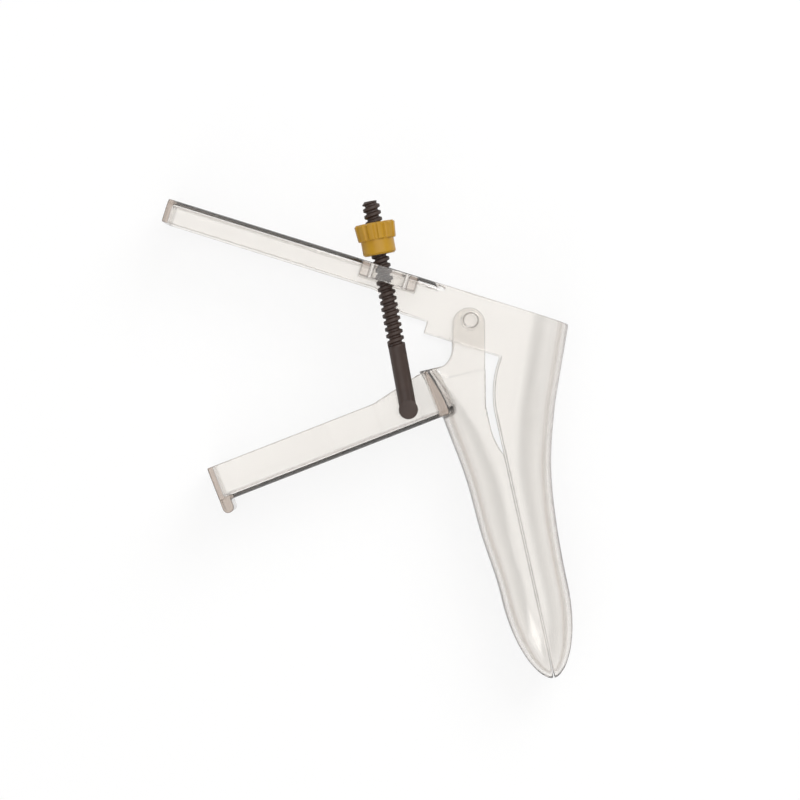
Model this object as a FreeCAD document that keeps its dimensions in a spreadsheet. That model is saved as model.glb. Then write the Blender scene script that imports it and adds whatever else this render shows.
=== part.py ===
import FreeCAD, Part
import math
import os
from types import SimpleNamespace

import Sketcher
from FreeCAD import Placement, Rotation, Vector

# A disposable bivalve speculum with a side screw, lying on its side, in millimetres.
# The two valves turn on studs at the origin. +X runs along the closed blades, +Y towards the upper valve,
# and +Z up along the pivot axis. The outer face of the upper valve's far side rests on z = 0.
# Each valve is drawn about its own middle plane and then lifted by half its width.

SIZES = {
    # Both valves
    "side_half": 15.0,  # middle plane to the outer face of the collar, blades and handles
    "wall": 1.5,
    "end_plate": 1.6,
    "handle_end_half": 13.0,  # half-width of a handle at its free end
    "handle_corner": 2.0,  # outside rounding between a handle's web and its flanges
    # Pivot
    "stud_radius": 2.1,
    "stud_clearance": 0.06,
    "stud_recess": 0.2,  # the stud ends this far under the side plate's outer face
    "arm_wall": 1.7,
    "arm_gap": 0.25,  # between the side plates and the arms inside them
    "ramp_half": 3.2,  # snap-in ramp, at the plate's edge
    "ramp_depth": 0.9,
    # Blades, along X from the pivot
    "blade_base": 28.0,
    "blade_throat": 44.6,
    "blade_middle": 62.0,
    "blade_fore": 80.0,
    "blade_tip": 106.4,
    "throat_half": 14.6,
    "middle_half": 13.6,
    "fore_half": 12.6,
    "seam": 1.2,  # height of the line where the closed blades meet
    "seam_gap": 0.3,
    "blade_round": 0.92,  # share of a blade's height that its rounded side takes
    "upper_base": 17.9,  # crown heights above the seam
    "upper_throat": 12.9,
    "upper_middle": 10.5,
    "upper_fore": 9.8,
    "lower_base": 14.7,  # floor depths below the seam
    "lower_throat": 12.4,
    "lower_middle": 11.5,
    "lower_fore": 9.9,
    # Upper valve: its back plane runs at this angle to the blades
    "upper_angle": 60.0,
    "upper_back": 7.5,  # pivot to the back plane
    "window_top": 27.5,
    "window_foot": 15.0,
    "window_corner": 6.0,
    "collar_round": 13.0,
    "plate_front": 7.2,
    "plate_upper": 11.5,
    "plate_lower": 11.8,
    "rim_radius": 29.7,
    "upper_reach": 93.3,
    "upper_depth": 6.9,
    "cheek_depth": 11.3,
    "cheek_start": 20.0,
    "flange_start": 29.0,
    "upper_web": 1.4,
    "handle_waist": 50.0,  # where both handles start to narrow
    # Lower valve: its handle runs at this angle to the blades
    "lower_angle": 81.3,
    "lower_reach": 86.1,
    "lower_back": 22.9,  # pivot to the outer face of the web
    "lower_rim": 12.2,  # pivot to the edge of the flanges
    "lower_web": 1.4,
    "knee_rim": 9.1,
    "knee_end": 20.0,
    "knee_start": 35.0,
    "knee_top": 14.0,
    "floor_under": 17.8,  # top of the handle's hollow, at the underside of the funnel's floor
    "hook_reach": 3.5,
    "hook_thick": 3.3,
    "hook_round": 1.5,
    "funnel_rear": 11.1,
    "funnel_mid": 19.0,
    "rear_depth": 18.9,
    "mid_depth": 16.2,
    "rear_round": 5.0,
    "mid_round": 6.5,
    "base_round": 9.5,
    "ear_angle": 12.6,
    "ear_radius": 4.67,
    "ear_offset": 1.0,
    "ear_drop": 0.5,
    "arm_end": 14.5,
    "arm_run": 7.8,  # along the ear to the start of the hollow under it
    "arm_hollow": 6.5,
    "relief_start": 15.0,
    "relief_floor": 25.0,
    "relief_end": 31.0,
    "blades_meet": 40.0,
    "relief_depth": 2.3,
    # Side screw
    "screw_down": 26.0,  # eye centre: along the lower handle from the pivot
    "screw_out": 17.4,  # and out from the pivot
    "screw_gap": 1.45,  # between the valves' side and the thread
    "screw_angle": 177.8,
    "screw_length": 60.6,
    "shank_length": 18.14,
    "shank_radius": 2.45,
    "thread_radius": 2.5,
    "thread_pitch": 1.92,
    "thread_depth": 0.75,
    "groove_floor": 0.2,  # half-widths of the thread's groove, at its floor and at the crests
    "groove_mouth": 0.62,
    "thread_end": 0.8,
    "eye_radius": 2.75,
    "eye_half": 2.2,
    "eye_cap": 0.9,  # plastic over the blind socket in the eye
    "peg_radius": 1.4,
    "peg_shoulder": 2.4,
    "peg_clearance": 0.08,
    "peg_head": 1.75,
    "peg_head_height": 1.2,
    # Bracket on the upper valve's near side
    "bracket_far": 34.5,
    "bracket_near": 18.0,
    "bracket_low": 2.75,
    "bracket_high": 7.0,
    "bracket_wall": 2.0,
    "bracket_end": 2.2,
    "slot_gap": 0.4,
    # Nut
    "nut_stand": 45.1,  # eye centre to the nut's seat
    "nut_body_radius": 4.75,
    "nut_body_height": 4.3,
    "nut_flange_radius": 5.9,
    "nut_flange_base": 5.5,
    "nut_flange_height": 4.9,
    "nut_bore_clearance": 0.1,
    "nut_edge": 0.5,
    "flute_radius": 1.1,
    "flute_depth": 0.45,
}
TIP_TURNS = (25, 45, 62, 75, 85)  # degrees round the quarter ellipse that closes each blade's tip
TIP_ROUND = 0.85  # share of the tip's height that its rounded side takes
TIP_BLUNT = 1.15  # the crown comes down a little sooner than an ellipse
FLUTES = 12
OVERCUT = 3.0  # how far a cut runs past the face that it opens


class Size:
    """A length or angle, as a number and as the sheet expression that gives it."""

    def __init__(self, value, text):
        self.value = value
        self.text = text

    def join(self, other, sign, value):
        return Size(value, f"({self.text} {sign} {as_size(other).text})")

    def __add__(self, other):
        return self.join(other, "+", self.value + as_size(other).value)

    def __sub__(self, other):
        return self.join(other, "-", self.value - as_size(other).value)

    def __mul__(self, other):
        return self.join(other, "*", self.value * as_size(other).value)

    def __truediv__(self, other):
        return self.join(other, "/", self.value / as_size(other).value)

    def __radd__(self, other):
        return as_size(other) + self

    def __rsub__(self, other):
        return as_size(other) - self

    def __rmul__(self, other):
        return as_size(other) * self

    def __neg__(self):
        return 0 - self


def as_size(number):
    return number if isinstance(number, Size) else Size(number, f"({number:.6f})")


def sine(angle):
    return Size(math.sin(math.radians(angle.value)), f"sin({angle.text} * 1 deg)")


def cosine(angle):
    return Size(math.cos(math.radians(angle.value)), f"cos({angle.text} * 1 deg)")


def turned(along, across, angle):
    """The point at (along, across) in axes turned by angle, as X and Y."""
    along, across = as_size(along), as_size(across)
    return (
        along * cosine(angle) - across * sine(angle),
        along * sine(angle) + across * cosine(angle),
    )


def fill_sheet(doc):
    """Write the driving dimensions to the sheet and return them as sizes."""
    sheet = doc.addObject("Spreadsheet::Sheet", "Sheet")
    for row, (name, value) in enumerate(SIZES.items(), start=1):
        sheet.set(f"A{row}", name)
        sheet.set(f"B{row}", str(value))
        sheet.setAlias(f"B{row}", name)
    doc.recompute()
    return SimpleNamespace(
        **{name: Size(value, f"Sheet.{name}") for name, value in SIZES.items()}
    )


def bind(item, path, size):
    item.setExpression(path, as_size(size).text)


def attached(body, name, role, base, axis, angle):
    """A sketch on one of the body's own planes, shifted by base and turned about axis."""
    sketch = body.newObject("Sketcher::SketchObject", name)
    plane = [f for f in body.Origin.OriginFeatures if f.Role == role][0]
    base = [as_size(b) for b in base]
    angle = as_size(angle)
    sketch.AttachmentSupport = [(plane, "")]
    sketch.MapMode = "FlatFace"
    sketch.AttachmentOffset = Placement(
        Vector(*[b.value for b in base]), Rotation(axis, angle.value)
    )
    for letter, size in zip("xyz", base):
        bind(sketch, f"AttachmentOffset.Base.{letter}", size)
    if angle.value:
        bind(sketch, "AttachmentOffset.Rotation.Angle", angle)
    return sketch


def side_view(body, name, angle=0, height=0):
    """A sketch seen from +Z, with its x axis at angle to X."""
    return attached(body, name, "XY_Plane", (0, 0, height), Vector(0, 0, 1), angle)


def station(body, name, angle, x, y):
    """A cross-section sketch whose normal lies at angle to X. Its x axis is 90 degrees on from that, its y axis is Z."""
    return attached(body, name, "YZ_Plane", (y, 0, x), Vector(0, 1, 0), angle)


def hold(sketch, kind, text, *where):
    """Add a constraint of this kind and drive it from the sheet."""
    index = sketch.addConstraint(Sketcher.Constraint(kind, *where))
    label = f"c{index}"
    sketch.renameConstraint(index, label)
    bind(sketch, f"Constraints.{label}", text)


def arc_between(start, end, radius, turn):
    """The short arc from start to end: turn is 1 for anticlockwise and -1 for clockwise."""
    chord = end - start
    rise = math.sqrt(max(radius**2 - (chord.Length / 2) ** 2, 0.0))
    side = Vector(-chord.y, chord.x, 0).normalize() * turn
    centre = (start + end) * 0.5 + side * rise
    first, last = (start, end) if turn > 0 else (end, start)
    circle = Part.Circle(centre, Vector(0, 0, 1), radius)
    return Part.ArcOfCircle(circle, circle.parameter(first), circle.parameter(last))


def outline(sketch, *corners):
    """A closed chain of edges. A corner is (x, y), or (x, y, radius, turn) where an arc leads to it."""
    corners = [[as_size(c) for c in corner] for corner in corners]
    points = [Vector(c[0].value, c[1].value, 0) for c in corners]
    count = len(corners)
    ends = []
    for i, corner in enumerate(corners):
        start, end = points[i - 1], points[i]
        if len(corner) == 2:
            edge = sketch.addGeometry(Part.LineSegment(start, end))
            ends.append((edge, 1, 2))
        else:
            radius, turn = corner[2], corner[3].value
            edge = sketch.addGeometry(arc_between(start, end, radius.value, turn))
            ends.append((edge, 1, 2) if turn > 0 else (edge, 2, 1))
    for i, corner in enumerate(corners):
        edge, _, last = ends[i]
        following, first, _ = ends[(i + 1) % count]
        sketch.addConstraint(Sketcher.Constraint("Coincident", edge, last, following, first))
        hold(sketch, "DistanceX", corner[0], -1, 1, edge, last, points[i].x)
        hold(sketch, "DistanceY", corner[1], -1, 1, edge, last, points[i].y)
        if len(corner) > 2:
            hold(sketch, "Radius", corner[2], edge, corner[2].value)
    return sketch


def disc(sketch, x, y, radius):
    x, y, radius = as_size(x), as_size(y), as_size(radius)
    circle = Part.Circle(Vector(x.value, y.value, 0), Vector(0, 0, 1), radius.value)
    edge = sketch.addGeometry(circle)
    hold(sketch, "DistanceX", x, -1, 1, edge, 3, x.value)
    hold(sketch, "DistanceY", y, -1, 1, edge, 3, y.value)
    hold(sketch, "Radius", radius, edge, radius.value)
    return sketch


def arch(sketch, foot, crown, half, corner):
    """A cross-section open along its foot: straight sides, rounded corners and a flat crown."""
    up = 1 if as_size(crown).value > as_size(foot).value else -1
    shoulder = crown - corner * up
    return outline(
        sketch,
        (foot, -half),
        (shoulder, -half),
        (crown, corner - half, corner, up),
        (crown, half - corner),
        (shoulder, half, corner, up),
        (foot, half),
    )


def loft(body, name, sketches, cut=False, ruled=False):
    kind = "PartDesign::SubtractiveLoft" if cut else "PartDesign::AdditiveLoft"
    feature = body.newObject(kind, name)
    feature.Profile = sketches[0]
    feature.Sections = sketches[1:]
    feature.Ruled = ruled
    return feature


def pad(body, name, sketch, length, middle=False, down=False):
    feature = body.newObject("PartDesign::Pad", name)
    feature.Profile = sketch
    feature.Length = as_size(length).value
    bind(feature, "Length", length)
    feature.Midplane = middle
    feature.Reversed = down
    return feature


def pocket(body, name, sketch, length, middle=False, down=False):
    feature = body.newObject("PartDesign::Pocket", name)
    feature.Profile = sketch
    feature.Length = as_size(length).value
    bind(feature, "Length", length)
    feature.Midplane = middle
    feature.Reversed = down
    return feature


def revolve(body, name, sketch, axis, cut=False):
    """A full turn of the sketch about its own H_Axis or V_Axis."""
    feature = body.newObject("PartDesign::Groove" if cut else "PartDesign::Revolution", name)
    feature.Profile = sketch
    feature.ReferenceAxis = (sketch, [axis])
    feature.Angle = 360
    return feature


def new_body(doc, name, base, angle=0):
    """A body with its own label, lifted and turned to its place."""
    body = doc.addObject("PartDesign::Body", name)
    body.Label = name
    base = [as_size(b) for b in base]
    angle = as_size(angle)
    body.Placement = Placement(
        Vector(*[b.value for b in base]), Rotation(Vector(0, 0, 1), angle.value)
    )
    for letter, size in zip("xyz", base):
        bind(body, f"Placement.Base.{letter}", size)
    if angle.value:
        bind(body, "Placement.Rotation.Angle", angle)
    return body


def blade(body, name, s, up, stations, inset=0.0):
    """One blade as a loft along X that ends in a quarter-ellipse tip. With an inset it cuts the hollow instead."""
    hollow = isinstance(inset, Size)
    foot = s.seam - OVERCUT * up if hollow else s.seam + s.seam_gap / 2 * up
    sketches = []
    for i, (x, half, height, corner) in enumerate(stations):
        sketch = station(body, f"{name}{i}", 0, x, 0)
        crown = s.seam + (height - inset) * up
        sketches.append(arch(sketch, foot, crown, half - inset, corner - inset))
    x, half, height, _ = stations[-1]
    for turn in TIP_TURNS:
        shrink = math.cos(math.radians(turn))
        along = x + (s.blade_tip - inset - x) * math.sin(math.radians(turn))
        tall = (height - inset) * shrink**TIP_BLUNT
        sketch = station(body, f"{name}_tip{turn}", 0, along, 0)
        corner = (tall - s.seam_gap) * TIP_ROUND
        sketches.append(arch(sketch, foot, s.seam + tall * up, (half - inset) * shrink, corner))
    return loft(body, name, sketches, cut=hollow)


def channel(body, name, angle, rows, corner, cut=False):
    """A handle as a straight-sided loft. Each row is (distance along it, foot, crown, half-width)."""
    sketches = []
    for i, (along, foot, crown, half) in enumerate(rows):
        sketch = station(body, f"{name}{i}", angle, *turned(along, 0, angle))
        sketches.append(arch(sketch, foot, crown, half, corner))
    return loft(body, name, sketches, cut=cut, ruled=True)


def blade_stations(s, heights, base_half, base_round):
    """The blade's named stations: (x, half-width, height, corner radius)."""
    places = (s.blade_base, s.blade_throat, s.blade_middle, s.blade_fore)
    halves = (base_half, s.throat_half, s.middle_half, s.fore_half)
    corners = [base_round] + [height * s.blade_round for height in heights[1:]]
    return list(zip(places, halves, heights, corners))


def upper_valve(doc, s):
    body = new_body(doc, "upper_valve", (0, 0, s.side_half))
    angle = s.upper_angle
    back = s.upper_back
    across = angle - 90

    # Handle: a channel that opens towards the other handle
    rows = [
        (-s.upper_reach, s.upper_depth, s.handle_end_half),
        (-s.handle_waist, s.upper_depth, s.side_half),
        (-s.flange_start, s.upper_depth, s.side_half),
        (-s.cheek_start, s.cheek_depth, s.side_half),
        (s.window_corner - s.window_foot, s.cheek_depth, s.side_half),
    ]
    outer = [(along, back - depth, back, half) for along, depth, half in rows]
    channel(body, "handle", angle, outer, s.handle_corner)
    rows[0] = (s.end_plate - s.upper_reach, s.upper_depth, s.handle_end_half)
    rows[-1] = (rows[-1][0] + OVERCUT, s.cheek_depth, s.side_half)
    inner = [
        (along, back - depth - OVERCUT, back - s.upper_web, half - s.wall)
        for along, depth, half in rows
    ]
    channel(body, "handle_hollow", angle, inner, s.handle_corner - s.wall, cut=True)

    # Foot of the viewing window, a round-cornered notch in the web
    out = back + OVERCUT
    sketch = station(body, "window_notch", across, *turned(0, out, angle))
    notch_half = s.side_half - s.wall
    outline(
        sketch,
        (0, -notch_half),
        (0, notch_half),
        (s.window_corner - s.window_foot, notch_half),
        (-s.window_foot, notch_half - s.window_corner, s.window_corner, 1),
        (-s.window_foot, s.window_corner - notch_half),
        (s.window_corner - s.window_foot, -notch_half, s.window_corner, 1),
    )
    pocket(body, "window_foot", sketch, OVERCUT + s.handle_corner, down=True)

    # Side plates round the pivot, running up into the collar's cheeks
    foot = s.seam + s.seam_gap / 2
    for label, up in (("near", 1), ("far", -1)):
        sketch = side_view(body, f"plate_{label}_outline", 0, (s.side_half - s.wall) * up)
        outline(
            sketch,
            turned(-s.plate_lower, back, angle),
            turned(-s.plate_lower, -s.plate_front, angle),
            turned(s.plate_upper, -s.plate_front, angle),
            (s.blade_base, foot, s.rim_radius, 1),
            (s.blade_base, foot + (s.upper_base - s.collar_round) / 2),
            turned((s.window_top - s.collar_round) * 0.9, back, angle),
        )
        pad(body, f"plate_{label}", sketch, s.wall, down=up < 0)

    # Collar: an arch from the window's slanting plane to the root of the blade
    collar = [
        arch(
            station(body, "collar_window", across, *turned(0, back, angle)),
            s.plate_upper,
            s.window_top,
            s.side_half,
            s.collar_round,
        ),
        arch(
            station(body, "collar_root", 0, s.blade_base, 0),
            foot,
            s.seam + s.upper_base,
            s.side_half,
            s.collar_round,
        ),
    ]
    loft(body, "collar", collar, ruled=True)
    heights = (s.upper_base, s.upper_throat, s.upper_middle, s.upper_fore)
    stations = blade_stations(s, heights, s.side_half, s.collar_round)
    blade(body, "blade", s, 1, stations)
    hollow = [
        arch(
            station(body, "hollow_window", across, *turned(0, out, angle)),
            as_size(0),
            s.window_top - s.wall,
            s.side_half - s.wall,
            s.collar_round - s.wall,
        ),
        arch(
            station(body, "hollow_root", 0, s.blade_base, 0),
            s.seam - OVERCUT,
            s.seam + s.upper_base - s.wall,
            s.side_half - s.wall,
            s.collar_round - s.wall,
        ),
    ]
    loft(body, "collar_hollow", hollow, cut=True, ruled=True)
    blade(body, "blade_hollow", s, 1, stations, inset=s.wall)

    # Pivot holes, each with a ramp that spreads the plate as the stud snaps in
    sketch = disc(side_view(body, "pivot_circle"), 0, 0, s.stud_radius + s.stud_clearance)
    pocket(body, "pivot_holes", sketch, s.side_half * 3, middle=True)
    inside = s.side_half - s.wall
    for label, up in (("near", 1), ("far", -1)):
        mouth = station(body, f"ramp_{label}_mouth", across, *turned(0, -s.plate_front, angle))
        rectangle(mouth, s.ramp_half, (inside - s.wall) * up, (inside + s.ramp_depth) * up)
        end = station(body, f"ramp_{label}_end", across, *turned(0, -s.stud_radius / 2, angle))
        rectangle(end, s.stud_radius, (inside - s.wall) * up, (inside + s.stud_clearance) * up)
        loft(body, f"ramp_{label}", [mouth, end], cut=True, ruled=True)

    # Slotted bracket on the near side that the screw passes through
    sketch = side_view(body, "bracket_outline", angle, s.side_half - s.wall)
    outline(
        sketch,
        (-s.bracket_far, s.bracket_low),
        (-s.bracket_near, s.bracket_low),
        (-s.bracket_near, s.bracket_high),
        (-s.bracket_far, s.bracket_high),
    )
    slot_half = s.thread_radius + s.slot_gap
    height = s.wall + s.screw_gap + s.thread_radius + slot_half + s.bracket_wall
    pad(body, "bracket", sketch, height)
    sketch = station(body, "slot_outline", across, *turned(0, s.bracket_high + OVERCUT, angle))
    middle = screw_height(s)
    far = s.bracket_end - s.bracket_far + slot_half
    near = -s.bracket_near - s.bracket_end - slot_half
    outline(
        sketch,
        (near, middle - slot_half),
        (near + slot_half, middle, slot_half, 1),
        (near, middle + slot_half, slot_half, 1),
        (far, middle + slot_half),
        (far - slot_half, middle, slot_half, 1),
        (far, middle - slot_half, slot_half, 1),
    )
    thickness = s.bracket_high - s.bracket_low
    pocket(body, "bracket_slot", sketch, thickness + 2 * OVERCUT, down=True)
    return body


def screw_height(s):
    """Height of the screw's axis over the valves' middle plane."""
    return s.side_half + s.screw_gap + s.thread_radius


def screw_eye(s):
    """Where the screw's eye turns on the lower valve."""
    return turned(s.screw_down, s.screw_out, -s.lower_angle)


def rectangle(sketch, half, low, high):
    """A rectangle across the sketch's y axis, from low to high along it."""
    return outline(sketch, (-half, low), (half, low), (half, high), (-half, high))


def lower_valve(doc, s):
    body = new_body(doc, "lower_valve", (0, 0, s.side_half))
    angle = -s.lower_angle
    arm_half = s.side_half - s.wall - s.arm_gap
    knee_half = (arm_half + s.side_half) / 2

    # Handle: a channel that opens backwards, deeper where it meets the arms
    rows = [
        (s.lower_reach, s.lower_rim, s.handle_end_half),
        (s.handle_waist, s.lower_rim, s.side_half),
        (s.knee_start, s.lower_rim, s.side_half),
        (s.knee_end, s.knee_rim, knee_half),
        (s.knee_top, s.knee_rim, arm_half),
    ]
    outer = [(along, rim, s.lower_back, half) for along, rim, half in rows]
    channel(body, "handle", angle, outer, s.handle_corner)
    rows[0] = (s.lower_reach - s.end_plate, s.lower_rim, s.handle_end_half)
    rows[-1] = (s.floor_under, s.knee_rim, knee_half)
    inner = [
        (along, rim - OVERCUT, s.lower_back - s.lower_web, half - s.wall)
        for along, rim, half in rows
    ]
    channel(body, "handle_hollow", angle, inner, s.handle_corner - s.wall, cut=True)

    # Hook across the free end
    sketch = side_view(body, "hook_outline", angle)
    tip = s.lower_back + s.hook_reach
    root = s.lower_back - s.lower_web / 2
    outline(
        sketch,
        (s.lower_reach, root),
        (s.lower_reach, tip - s.hook_round),
        (s.lower_reach - s.hook_round, tip, s.hook_round, 1),
        (s.lower_reach - s.hook_thick + s.hook_round, tip),
        (s.lower_reach - s.hook_thick, tip - s.hook_round, s.hook_round, 1),
        (s.lower_reach - s.hook_thick, root),
    )
    pad(body, "hook", sketch, 2 * s.handle_end_half, middle=True)

    # Funnel and blade: one trough from the back edge of the floor to the tip
    heights = (s.lower_base, s.lower_throat, s.lower_middle, s.lower_fore)
    stations = [
        (s.funnel_rear, arm_half, s.rear_depth, s.rear_round),
        (s.funnel_mid, arm_half + s.arm_gap, s.mid_depth, s.mid_round),
        *blade_stations(s, heights, s.throat_half, s.base_round),
    ]
    blade(body, "trough", s, -1, stations)
    blade(body, "trough_hollow", s, -1, stations, inset=s.wall)

    # Relief along the top edge where the two valves part near the pivot
    foot = s.seam - s.seam_gap / 2
    dip = s.relief_depth - s.seam_gap / 2
    run = s.blades_meet - s.relief_end
    clear = s.seam + OVERCUT
    sketch = side_view(body, "relief_outline")
    outline(
        sketch,
        (s.relief_start, clear),
        (s.relief_start, foot),
        (s.relief_floor, foot - dip),
        (s.relief_end, foot - dip),
        (s.blades_meet, foot, (run * run + dip * dip) / (2 * dip), 1),
        (s.blades_meet, clear),
    )
    pocket(body, "relief", sketch, 3 * s.side_half, middle=True)

    # Arms inside the upper valve's plates, each ending in a round ear with its stud
    tilt = -s.ear_angle
    low = -s.ear_drop - s.ear_radius
    high = s.ear_radius - s.ear_drop
    bend_x, bend_y = turned(s.arm_run, low, tilt)
    heel_x = bend_x + s.arm_hollow * (1 - sine(s.ear_angle))
    heel_y = bend_y - s.arm_hollow * cosine(s.ear_angle)
    for label, up in (("near", 1), ("far", -1)):
        sketch = side_view(body, f"arm_{label}_outline", 0, (arm_half - s.arm_wall) * up)
        outline(
            sketch,
            turned(s.ear_offset, high, tilt),
            (*turned(s.ear_offset - s.ear_radius, -s.ear_drop, tilt), s.ear_radius, 1),
            (*turned(s.ear_offset, low, tilt), s.ear_radius, 1),
            (bend_x, bend_y),
            (heel_x, heel_y, s.arm_hollow, -1),
            (s.arm_end, heel_y + s.arm_hollow / 2),
            (s.arm_end, foot),
        )
        pad(body, f"arm_{label}", sketch, s.arm_wall, down=up < 0)
        start = arm_half - s.arm_wall / 2
        sketch = disc(side_view(body, f"stud_{label}_circle", 0, start * up), 0, 0, s.stud_radius)
        pad(body, f"stud_{label}", sketch, s.side_half - s.stud_recess - start, down=up < 0)

    # Peg that the screw's eye snaps over
    eye_x, eye_y = screw_eye(s)
    seat = screw_height(s) - s.eye_half - s.peg_clearance
    top = screw_height(s) + s.eye_half - s.eye_cap - s.peg_clearance
    neck = top - s.peg_head_height
    sketch = station(body, "peg_profile", 0, eye_x, eye_y)
    outline(
        sketch,
        (0, s.side_half - s.wall),
        (s.peg_shoulder, s.side_half - s.wall),
        (s.peg_shoulder, seat),
        (s.peg_radius, seat),
        (s.peg_radius, neck),
        (s.peg_head, neck),
        (s.peg_radius, top),
        (0, top),
    )
    revolve(body, "peg", sketch, "V_Axis")
    return body


def screw_rod(doc, s):
    """The screw along its own +X, from the centre of its eye."""
    place = (*screw_eye(s), s.side_half + screw_height(s))
    body = new_body(doc, "screw_rod", place, s.screw_angle)
    sketch = side_view(body, "rod_profile")
    outline(
        sketch,
        (0, 0),
        (0, s.shank_radius),
        (s.shank_length, s.shank_radius),
        (s.shank_length, s.thread_radius),
        (s.screw_length - s.thread_end, s.thread_radius),
        (s.screw_length, s.thread_radius - s.thread_end),
        (s.screw_length, 0),
    )
    revolve(body, "rod", sketch, "H_Axis")
    sketch = disc(side_view(body, "eye_circle"), 0, 0, s.eye_radius)
    pad(body, "eye", sketch, 2 * s.eye_half, middle=True)
    for label, up in (("near", 1), ("far", -1)):
        sketch = side_view(body, f"eye_{label}_square", 0, s.eye_half * up)
        outline(
            sketch,
            (-s.eye_radius, -s.eye_radius),
            (s.eye_radius, -s.eye_radius),
            (s.eye_radius, s.eye_radius),
            (-s.eye_radius, s.eye_radius),
        )
        pocket(body, f"eye_{label}_flat", sketch, s.shank_radius, down=up > 0)

    # Blind socket with an undercut that holds the peg's head
    mouth = -s.eye_half - OVERCUT
    top = s.eye_half - s.eye_cap
    undercut = top - s.peg_head_height - 2 * s.peg_clearance
    sketch = station(body, "socket_profile", 0, 0, 0)
    outline(
        sketch,
        (0, mouth),
        (s.peg_radius + s.peg_clearance, mouth),
        (s.peg_radius + s.peg_clearance, undercut),
        (s.peg_head + s.peg_clearance, undercut),
        (s.peg_radius + s.peg_clearance, top),
        (0, top),
    )
    revolve(body, "socket", sketch, "V_Axis", cut=True)

    # Thread: one groove wound right-handed from the shank to past the tip
    sketch = side_view(body, "groove_profile")
    start = s.shank_length + s.groove_mouth
    rise = s.thread_depth / 4
    flare = (s.groove_mouth - s.groove_floor) / 4
    outline(
        sketch,
        (start - s.groove_floor, s.thread_radius - s.thread_depth),
        (start + s.groove_floor, s.thread_radius - s.thread_depth),
        (start + s.groove_mouth + flare, s.thread_radius + rise),
        (start - s.groove_mouth - flare, s.thread_radius + rise),
    )
    thread = body.newObject("PartDesign::SubtractiveHelix", "thread")
    thread.Profile = sketch
    thread.ReferenceAxis = (sketch, ["H_Axis"])
    thread.Mode = "pitch-height-angle"
    bind(thread, "Pitch", s.thread_pitch)
    bind(thread, "Height", s.screw_length - s.shank_length + s.thread_pitch)
    return body


def nut(doc, s):
    """The nut along the screw's axis, from the face that bears on the bracket."""
    eye_x, eye_y = screw_eye(s)
    run_x, run_y = turned(s.nut_stand, 0, s.screw_angle)
    place = (eye_x + run_x, eye_y + run_y, s.side_half + screw_height(s))
    body = new_body(doc, "nut", place, s.screw_angle)
    bore = s.thread_radius + s.nut_bore_clearance
    top = s.nut_body_height + s.nut_flange_height
    sketch = side_view(body, "nut_profile")
    outline(
        sketch,
        (0, bore),
        (0, s.nut_body_radius - s.nut_edge),
        (s.nut_edge, s.nut_body_radius),
        (s.nut_body_height, s.nut_body_radius),
        (s.nut_body_height, s.nut_flange_base),
        (top - s.nut_edge, s.nut_flange_radius),
        (top, s.nut_flange_radius - s.nut_edge),
        (top, bore),
    )
    revolve(body, "nut_turned", sketch, "H_Axis")
    sketch = station(body, "flute_circle", 0, top + OVERCUT, 0)
    disc(sketch, s.nut_flange_radius + s.flute_radius - s.flute_depth, 0, s.flute_radius)
    flute = pocket(body, "flute", sketch, s.nut_flange_height + OVERCUT)
    pattern = body.newObject("PartDesign::PolarPattern", "flutes")
    pattern.Originals = [flute]
    axis = [f for f in body.Origin.OriginFeatures if f.Role == "X_Axis"][0]
    pattern.Axis = (axis, [""])
    pattern.Angle = 360
    pattern.Occurrences = FLUTES
    body.Tip = pattern
    return body


def check(doc, bodies):
    """Stop if any object failed to recompute, or a body isn't one sound solid."""
    for item in doc.Objects:
        if {"Invalid", "Error"} & set(item.State):
            raise RuntimeError(f"{item.Name} of {item.Label} didn't compute: {item.State}")
    for body in bodies:
        shape = body.Shape
        if shape.isNull() or not shape.isValid() or len(shape.Solids) != 1:
            raise RuntimeError(f"{body.Label} isn't one valid solid")


def main():
    os.makedirs("parts", exist_ok=True)
    doc = FreeCAD.newDocument("bivalve_speculum")
    s = fill_sheet(doc)
    bodies = [lower_valve(doc, s), upper_valve(doc, s), screw_rod(doc, s), nut(doc, s)]
    doc.recompute()
    check(doc, bodies)
    for body in bodies:
        body.Shape.exportStep(f"parts/{body.Label}.step")
        print(f"{body.Label}: {body.Shape.Volume:.1f} cubic mm")


main()
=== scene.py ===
import math

import bmesh
import bpy
import numpy as np
from bpy.props import FloatProperty, FloatVectorProperty, IntProperty, PointerProperty
from mathutils import Matrix, Vector


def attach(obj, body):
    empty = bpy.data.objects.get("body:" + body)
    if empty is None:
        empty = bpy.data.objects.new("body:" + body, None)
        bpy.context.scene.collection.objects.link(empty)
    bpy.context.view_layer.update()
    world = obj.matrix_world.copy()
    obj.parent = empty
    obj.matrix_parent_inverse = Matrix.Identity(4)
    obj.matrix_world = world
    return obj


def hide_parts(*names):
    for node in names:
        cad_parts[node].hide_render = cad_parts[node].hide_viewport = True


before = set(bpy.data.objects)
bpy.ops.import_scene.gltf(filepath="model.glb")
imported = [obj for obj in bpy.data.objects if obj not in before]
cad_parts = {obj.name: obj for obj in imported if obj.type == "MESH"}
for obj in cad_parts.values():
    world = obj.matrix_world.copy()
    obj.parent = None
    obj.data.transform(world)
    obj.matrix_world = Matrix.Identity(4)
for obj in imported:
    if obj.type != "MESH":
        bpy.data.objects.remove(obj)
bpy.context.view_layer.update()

bl_info = {
    "name": "Bivalve speculum",
    "version": (1, 0, 0),
    "blender": (4, 5, 0),
    "location": "3D View > Sidebar > Speculum",
    "description": "Builds a clear disposable speculum with a side screw, lying on its side",
    "category": "Object",
}

MM = 0.001
PICTURE = 800
# The name of the value on each point of a valve's skin that tells its edges from its walls, where
# the clear material paints a shade on the edges
PAINTED_EDGE_SHADE = "edge_share"
# Height of the shrink waves and the mould's grit, which bend reflections
RELIEF = 0.03 * MM


# Properties that a user can change


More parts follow.
